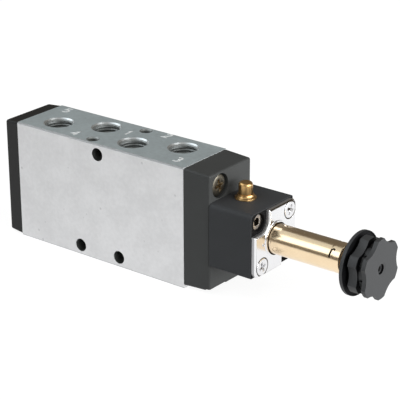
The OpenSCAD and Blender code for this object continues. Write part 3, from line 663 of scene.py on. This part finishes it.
def cross_cutter(name, place, reach, width, depth, turn):
    """Tapered cross that cuts a screw's recess, opening at local z = 0 and going down."""
    bm = bmesh.new()
    half = width / 2
    outline = []
    for quarter in range(4):
        angle = math.radians(turn) - quarter * math.pi / 2
        for x, y in ((half, half), (reach, half), (reach, -half)):
            outline.append((
                x * math.cos(angle) - y * math.sin(angle), x * math.sin(angle) + y * math.cos(angle)))
    levels = ((0.4, 1.08), (-0.55 * depth, 0.8), (-depth, 0.35))
    wrap(bm, [[bm.verts.new((x * share * MM, y * share * MM, z * MM)) for x, y in outline]
              for z, share in levels])
    return linked(name, solid_from(name, bm, place))


def cross_screws(node, name, places, facing, head, recess, inside):
    """Cross-recess screws that stand for a node's plain ones, each at x, y and z with a turn."""
    meshes = []
    for x, y, z, turn in places:
        place = facing_x(x, y, z, facing)
        blank = linked(f"{name}_blank", turned(f"{name}_blank", head, place))
        cut(blank, cross_cutter(f"{name}_cutter", place, *recess, turn))
        ease(blank, 0.05, limit_method="ANGLE", angle_limit=math.radians(35))
        meshes.append(blank.data)
        bpy.data.objects.remove(blank)
    piece = add_piece(name, joined(name, meshes), node)
    smooth(piece)
    top = places[0][0]
    edge = recess[0] + 0.05
    # The recess faces get the finish named by inside, which paints glints in the cap screws and shade in
    # the plate screws.
    paint(piece, inside, lambda p: -2.0 < facing * (p.x - top) < -0.1 and min(
        math.hypot(p.y - y, p.z - z) for x, y, z, turn in places) < edge)
    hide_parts(node)


def cap_screws():
    """The four screws of the two end caps, which are shorter in the thinner spring cap."""
    seat = -2.2
    in_cap = 7.1
    in_body = 9.0
    thinner = 3.9
    tip = seat - in_cap - in_body
    head = [(0, tip), (1.6, tip), (2.0, tip + 0.4), (2.0, seat), (3.6, seat), (3.6, -0.75),
            (3.45, -0.42), (3.0, -0.16), (2.3, -0.03), (0, 0)]
    short = [(r, h + thinner if h < seat else h) for r, h in head]
    recess = (2.0, 0.95, 1.5)
    pilot_x = CAP_X1 - 0.4
    spring_x = CAP_X0 + 0.4
    high = AXIS_Z + CAP_SCREW_RISE
    low = AXIS_Z - CAP_SCREW_RISE
    # Their cross recesses get painted glints.
    cross_screws("pilot_cap_screws", "pilot_cap_cross_screws", [
        (pilot_x, -CAP_SCREW_Y, high, 12), (pilot_x, CAP_SCREW_Y, low, 40)],
        1, head, recess, "painted_glint_metal")
    cross_screws("spring_cap_screws", "spring_cap_cross_screws", [
        (spring_x, CAP_SCREW_Y, high, 25), (spring_x, -CAP_SCREW_Y, low, 5)],
        -1, short, recess, "painted_glint_metal")


def plate_screws():
    """The two countersunk screws of the flange plate."""
    head = [(0, -8.3), (1.2, -8.3), (1.5, -8.0), (1.5, -1.3), (2.5, -0.3), (2.66, -0.14),
            (2.66, -0.04), (2.55, 0.05), (2.2, 0.12), (0, 0.15)]
    # Their cross recesses get painted shade.
    cross_screws("flange_plate_screws", "plate_cross_screws", [
        (PLATE_X1, -CORNER, AXIS_Z - CORNER, 20), (PLATE_X1, CORNER, AXIS_Z + CORNER, 65)],
        1, head, (1.6, 0.85, 1.5), "painted_shade_metal")


def thread_ridge(name, centre, outward, thread, finish, steps):
    """Helical thread ridge and its mouth ring, in a bore whose mouth is at centre."""
    wall, crest, pitch, top, bottom = thread
    root = wall + 0.03
    height = wall - crest
    foot = 0.42 * pitch
    flat = 0.08 * pitch
    start = 0.8
    count = int(((top - bottom) / pitch - start) * steps)
    bm = bmesh.new()
    rings = []
    for i in range(count + 1):
        angle = 2 * math.pi * i / steps
        along = top - start * pitch - pitch * i / steps
        fade = min(1.0, i / steps, (count - i) / steps) + 0.02
        tip = wall - height * min(1.0, fade)
        section = ((root, foot), (tip, flat), (tip, -flat), (root, -foot))
        rings.append([bm.verts.new((
            centre[0] * MM + r * MM * math.cos(angle), centre[1] * MM + r * MM * math.sin(angle),
            centre[2] * MM + outward * (along + h) * MM)) for r, h in section])
    wrap(bm, rings)
    ring = [(root, top), (root, top - height - 0.5 * pitch), (crest, top - height - 0.2 * pitch),
            (crest, top - height), (root, top)]
    place = Matrix.Translation(Vector(centre) * MM) @ Matrix.Diagonal((1, outward, outward, 1))
    mouth = turned(f"{name}_mouth", ring, place)
    piece = add_piece(name, joined(name, [solid_from(name, bm), mouth]), "valve_body", finish)
    smooth(piece, 25)


def port_threads():
    """The threads of the five ports and the two tapped holes."""
    # The threads are darker metal than the body, as painted shade.
    for name, (x, y) in PORTS.items():
        thread_ridge(f"{name}_thread", (x, y, TOP_Z), 1, PORT_THREAD, "thread_shade_aluminium", 40)
    thread_ridge("port_1_thread", (0, 0, BASE_Z), -1, PORT_THREAD, "thread_shade_aluminium", 40)
    for side, end in ((-1, "front"), (1, "back")):
        centre = (side * TAPPED_X, side * TAPPED_Y, TOP_Z)
        thread_ridge(f"tapped_hole_{end}_thread", centre, 1, TAPPED_THREAD, "bore_shade_aluminium", 28)


def ribbon(bm, points, half, low, high):
    """Prism that follows a bent line."""
    steps = [Vector(far) - Vector(near) for near, far in zip(points, points[1:])]
    sides = []
    for (x, y), before, after in zip(points, steps[:1] + steps, steps + steps[-1:]):
        lean = (before.normalized() + after.normalized()).normalized()
        across = Vector((-lean.y, lean.x)) * half / max(0.5, lean.dot(after.normalized()))
        sides.append([(x + across.x, y + across.y), (x - across.x, y - across.y)])
    under, over = [[[bm.verts.new((x * MM, y * MM, z * MM)) for x, y in pair] for pair in sides]
                   for z in (low, high)]
    for level in (under, over):
        for near, far in zip(level, level[1:]):
            bm.faces.new([near[0], near[1], far[1], far[0]])
    for side in (0, 1):
        for i in range(len(steps)):
            bm.faces.new([under[i][side], under[i + 1][side], over[i + 1][side], over[i][side]])
    for i in (0, -1):
        bm.faces.new([under[i][0], under[i][1], over[i][1], over[i][0]])


def port_numbers():
    """Cutter for the plain numbers scribed beside the ports."""
    bm = bmesh.new()
    for digit, (x, y) in NUMBER_PLACES.items():
        for line in DIGITS[digit]:
            points = [(x + NUMBER_SIZE * (u - 0.5), y + NUMBER_SIZE * (v - 0.8)) for u, v in line]
            ribbon(bm, points, NUMBER_HALF_STROKE, TOP_Z - SCRIBE, TOP_Z + 0.1)
    return linked("number_cutter", solid_from("number_cutter", bm))


def valve_block():
    """The body with its port numbers and turned mouths, and painted shade in its bores, its tapped
    holes' mouths, its long edges and on its darker top and bottom.
    """
    block = eased_copy("valve_body", "body_block", 0.05, on_box("valve_body", (0, 1)),
                       cutters=[port_numbers()])
    # Painted shade and a painted cool reflection: the top and bottom darker and bluer.
    paint(block, "milled_shade_aluminium", lambda p: p.z > TOP_Z - 0.01 or p.z < BASE_Z + 0.01)
    # Painted shade inside the bores.
    paint(block, "bore_shade_aluminium", lambda p: abs(p.x) < BODY_X - 0.7 and abs(p.y) < BODY_Y - 0.4
          and BASE_Z + 0.6 < p.z < TOP_Z - MOUTH)
    paint(block, "machined_aluminium", lambda p: TOP_Z - MOUTH < p.z < TOP_Z - NEAR
          and abs(p.y) < BODY_Y - 0.8)
    # Painted shade on the tapped holes' mouths.
    paint(block, "thread_shade_aluminium", lambda p: TOP_Z - MOUTH < p.z < TOP_Z - NEAR
          and from_tapped_hole(p) < 2.6)
    # Painted shade on the long edges' chamfers, to hold back their highlight.
    paint(block, "edge_shade_aluminium", lambda p: BODY_Y - 0.4 < abs(p.y) < BODY_Y - 0.002
          and not BASE_Z + 0.4 < p.z < TOP_Z - 0.4)
    paint(block, "scribed_mark", lambda p: abs(p.z - TOP_Z + SCRIBE) < 0.004)


def end_caps():
    """The spring cap, which is the blacker one, and the pilot cap."""
    eased_copy("spring_end_cap", "spring_cap", 0.12, lambda p: abs(p.x - CAP_X0) < NEAR,
               finish="spring_cap_plastic")
    eased_copy("pilot_end_cap", "pilot_cap", 0.12, lambda p: abs(p.x - CAP_X1) < NEAR)


def pilot_head():
    """The pilot block, with painted shade in near-black on its face and in its counterbores, and its
    socket screws, with painted shade in their hex sockets.
    """
    outside = on_box("pilot_block", (0, 1, 2))
    head = eased_copy("pilot_block", "pilot_head", 0.18,
                      lambda p: outside(p) and abs(from_corner(p) - COUNTERBORE) > 0.05)
    # Painted shade: the block's face against the plate and its counterbores in near-black plastic.
    paint(head, "painted_shade_plastic", lambda p: p.x > BLOCK_X1 - 0.01 or (
        p.x > BLOCK_X1 - 3 and from_corner(p) < COUNTERBORE + 0.05))
    sockets = eased_copy("pilot_block_screws", "socket_screws", 0.08, lambda p: p.x > BLOCK_X1 - 1.2)
    # Painted shade: the socket screws' hex recesses in dark metal.
    paint(sockets, "painted_shade_metal", lambda p: BLOCK_X1 - 2.6 < p.x < BLOCK_X1 - 0.9
          and from_corner(p) < 1.5)


def clamp_plate():
    """The flange plate, with painted shade in a dark seam round the tube and in the screws'
    countersinks, and duller sides.
    """
    rim = [(0, -0.3), (4.86, -0.3), (5.25, 0.1), (0, 0.1)]
    plate = eased_copy("flange_plate", "clamp_plate", 0.12, lambda p: p.x > BLOCK_X1 + 0.3,
                       cutters=[turned_cutter("seam_cutter", rim, COLLAR_X1)])
    # Painted shade in the seam round the tube.
    paint(plate, "painted_shade_metal", lambda p: COLLAR_X1 - 0.31 < p.x < COLLAR_X1 - 0.01
          and from_axis(p) < COLLAR_R - 0.4)
    paint(plate, "sheared_zinc", lambda p: BLOCK_X1 + NEAR < p.x < PLATE_X1 - 0.5
          and from_axis(p) > COLLAR_R + 0.4)
    paint(plate, "notch_zinc", lambda p: BLOCK_X1 + NEAR < p.x < PLATE_X1 - 0.1
          and p.y * (p.z - AXIS_Z) < 0 and from_corner(p) < 4.3)
    paint(plate, "sheared_zinc", lambda p: PLATE_X1 + 0.05 < p.x < COLLAR_X1 - NEAR
          and from_axis(p) > COLLAR_R + 0.4)
    # Painted shade in the countersinks of the plate screws.
    paint(plate, "painted_shade_metal", lambda p: p.x < PLATE_X1 - NEAR
          and p.y * (p.z - AXIS_Z) > 0 and from_corner(p) < 3.05)


def stake_mark():
    """Cutter for the small C-shaped mark that locks the tube on its core."""
    bm = bmesh.new()
    ribbon(bm, STAKE_LINE, STAKE_HALF_STROKE, STAKE_R, TUBE_R + 0.45)
    turn = Matrix.Rotation(math.radians(STAKE_ANGLE), 4, "X")
    place = Matrix.Translation(Vector((STAKE_X, 0, AXIS_Z)) * MM) @ turn
    return linked("stake_cutter", solid_from("stake_cutter", bm, place))


def shallow_groove(p):
    """Lifts the floor of the tube's rolled groove, so that only faint rings show."""
    if GROOVE_X0 < p.x < GROOVE_X1 and abs(from_axis(p) - GROOVE_R) < 0.05:
        lift = GROOVE_DRAWN_R / from_axis(p)
        return Vector((p.x, p.y * lift, AXIS_Z + (p.z - AXIS_Z) * lift))
    return p


def tube_and_core():
    """The armature tube with its stake mark, whose faces have painted shade, and the core's neck."""
    outer_part = 70
    tube = eased_copy("armature_tube", "sleeve_tube", 0.08, lambda p: p.x > outer_part,
                      cutters=[stake_mark()], reshape=shallow_groove)
    # Painted shade on the stake mark's floor and walls.
    paint(tube, "painted_shade_metal", lambda p: STAKE_X - 1.2 < p.x < STAKE_X + 1.2
          and TUBE_R - 0.45 < from_axis(p) < TUBE_R - 0.06 and p.y < -2)
    eased_copy("fixed_core", "core_neck", 0.06, lambda p: p.x > TUBE_X1)


def override():
    """The override button and its flared bush."""
    eased_copy("override_bush", "override_brim", 0.1, lambda p: p.z > BLOCK_TOP)
    eased_copy("override_button", "override_pin", 0.06, lambda p: p.z > BLOCK_TOP)


def grip_nut():
    """The coil nut, with a deeper slot behind its flange and a dish round its vent, and painted shade in
    near-black in the slot, at its waist and in the vent.
    """
    slot_x = NUT_X0 + 1.1
    waist_x = NUT_X0 + 4.9
    slot = [(6.2, -0.25), (9.55, -0.25), (9.55, 0.3), (6.2, 0.3), (6.2, -0.25)]
    dish = [(0, -0.9), (1.5, -0.9), (1.6, 0.2), (0, 0.2)]
    nut = eased_copy("coil_nut", "grip_nut", 0.07, lambda p: from_axis(p) > 6.9, angle=24, cutters=[
        turned_cutter("slot_cutter", slot, slot_x), turned_cutter("dish_cutter", dish, NUT_X1)])
    # Painted shade: the slot behind the flange, the waist and the vent in near-black plastic.
    paint(nut, "painted_shade_plastic", lambda p: slot_x - 0.4 < p.x < slot_x + 0.96 and from_axis(p) < 9.86)
    paint(nut, "painted_shade_plastic", lambda p: waist_x - 0.03 < p.x < waist_x + 0.4)
    paint(nut, "painted_shade_plastic", lambda p: NUT_X1 - 0.85 < p.x < NUT_X1 - NEAR
          and from_axis(p) < 1.65)


def springs():
    """The coil springs, each a smooth copy of its CAD node with a mesh of its own."""
    for node, joint, axis, fixed_end, travel in (
            ("return_spring", "spool_shift", 0, 0, 3.5),
            ("plunger_spring", "plunger_lift", 0, 1, 1.2),
            ("override_spring", "override_press", 2, 0, 1.5)):
        name = node.replace("spring", "coil")
        coil = add_piece(name, mesh_from(name, clean_copy(node)), node)
        smooth(coil)
        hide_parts(node)
        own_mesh(coil)


def dress_nodes():
    """Gives every CAD node that still shows the finish of its slot."""
    for name, node in frame["nodes"].items():
        for entry in node.material_slots:
            entry.material = finishes[slots[name]]


def floor():
    """Pale floor that reads as white and keeps a soft shadow."""
    level = (BASE_Z - 0.02) * MM
    bm = bmesh.new()
    bm.faces.new([bm.verts.new((FLOOR_HALF * x, FLOOR_HALF * y, level))
                  for x, y in ((-1, -1), (1, -1), (1, 1), (-1, 1))])
    plane = linked("floor", mesh_from("floor", bm))
    f = new_finish("floor_white")
    strength = f.ray("Camera") * 0.9 + (f.ray("Glossy") + f.ray("Transmission")) * 0.84
    paper = f.node("ShaderNodeBsdfDiffuse", {}, {"Color": (0.22, 0.22, 0.22, 1)})
    glow = f.node("ShaderNodeEmission", {}, {"Color": (1, 1, 1, 1), "Strength": strength})
    f.end(f.node("ShaderNodeAddShader", {}, {0: paper, 1: glow}))
    plane.data.materials.append(f.owner)


def room():
    """World that is white to the camera and a dim studio to everything else."""
    world = bpy.data.worlds.new("room")
    bpy.context.scene.world = world
    f = Finish(world)
    seen = f.ray("Camera") + f.ray("Transmission")
    white = f.node("ShaderNodeBackground", {}, {"Color": (1, 1, 1, 1), "Strength": 1.0})
    dim = f.node("ShaderNodeBackground", {}, {"Color": (0.155, 0.14, 0.12, 1), "Strength": 1.0})
    f.end(f.node("ShaderNodeMixShader", {}, {0: seen, 1: dim, 2: white}), "ShaderNodeOutputWorld")


def soft_light(name, place, width, height, glow, colour):
    """Evenly glowing area light that faces the valve's middle, unseen by the camera."""
    lamp = bpy.data.lights.new(name, "AREA")
    lamp.shape = "RECTANGLE"
    lamp.size = width
    lamp.size_y = height
    lamp.energy = glow * math.pi * width * height
    lamp.color = colour
    thing = linked(name, lamp)
    thing.location = MIDDLE + Vector(place)
    thing.rotation_euler = (-Vector(place)).to_track_quat("-Z", "Y").to_euler()
    thing.visible_camera = False


def lights():
    """Soft boxes round the valve, bluish from the left and nearly neutral from the right."""
    bluish = (0.92, 0.99, 1.03)
    neutral = (0.98, 1.0, 1.0)
    soft_light("front_left_low_box", (-0.62, -0.58, 0.61), 1.6, 0.58, 1.15, bluish)
    soft_light("front_left_high_box", (-0.5, -0.47, 0.77), 1.6, 0.98, 0.64, bluish)
    soft_light("right_box", (0.98, 0.06, 0.2), 1.3, 0.34, 8.8, neutral)
    soft_light("upper_right_box", (0.51, 0.15, 0.85), 0.3, 0.3, 2.7, neutral)
    soft_light("front_right_box", (0.6, -0.5, 0.7), 0.9, 0.7, 0.6, neutral)


def camera():
    """Camera at the photograph's place, solved from the traced edges."""
    azimuth = math.radians(37.98)
    height = math.radians(22.16)
    roll = math.radians(-0.151)
    back = Vector((
        math.sin(azimuth) * math.cos(height), -math.cos(azimuth) * math.cos(height), math.sin(height)))
    right = (-back).cross(Vector((0, 0, 1))).normalized()
    up = right.cross(-back).normalized()
    tilted_right = math.cos(roll) * right + math.sin(roll) * up
    tilted_up = -math.sin(roll) * right + math.cos(roll) * up
    lens = bpy.data.cameras.new("camera")
    lens.sensor_width = 36
    lens.lens = 140.757
    thing = linked("camera", lens)
    place = Matrix((tilted_right, tilted_up, back)).transposed().to_4x4()
    place.translation = Vector((308.5, -353.7, 205.0)) * MM
    thing.matrix_world = place
    bpy.context.scene.camera = thing


camera()
dress_nodes()
valve_block()
end_caps()
pilot_head()
clamp_plate()
tube_and_core()
override()
grip_nut()
springs()
cap_screws()
plate_screws()
port_threads()
floor()
room()
lights()
bpy.context.scene.view_settings.view_transform = "Standard"
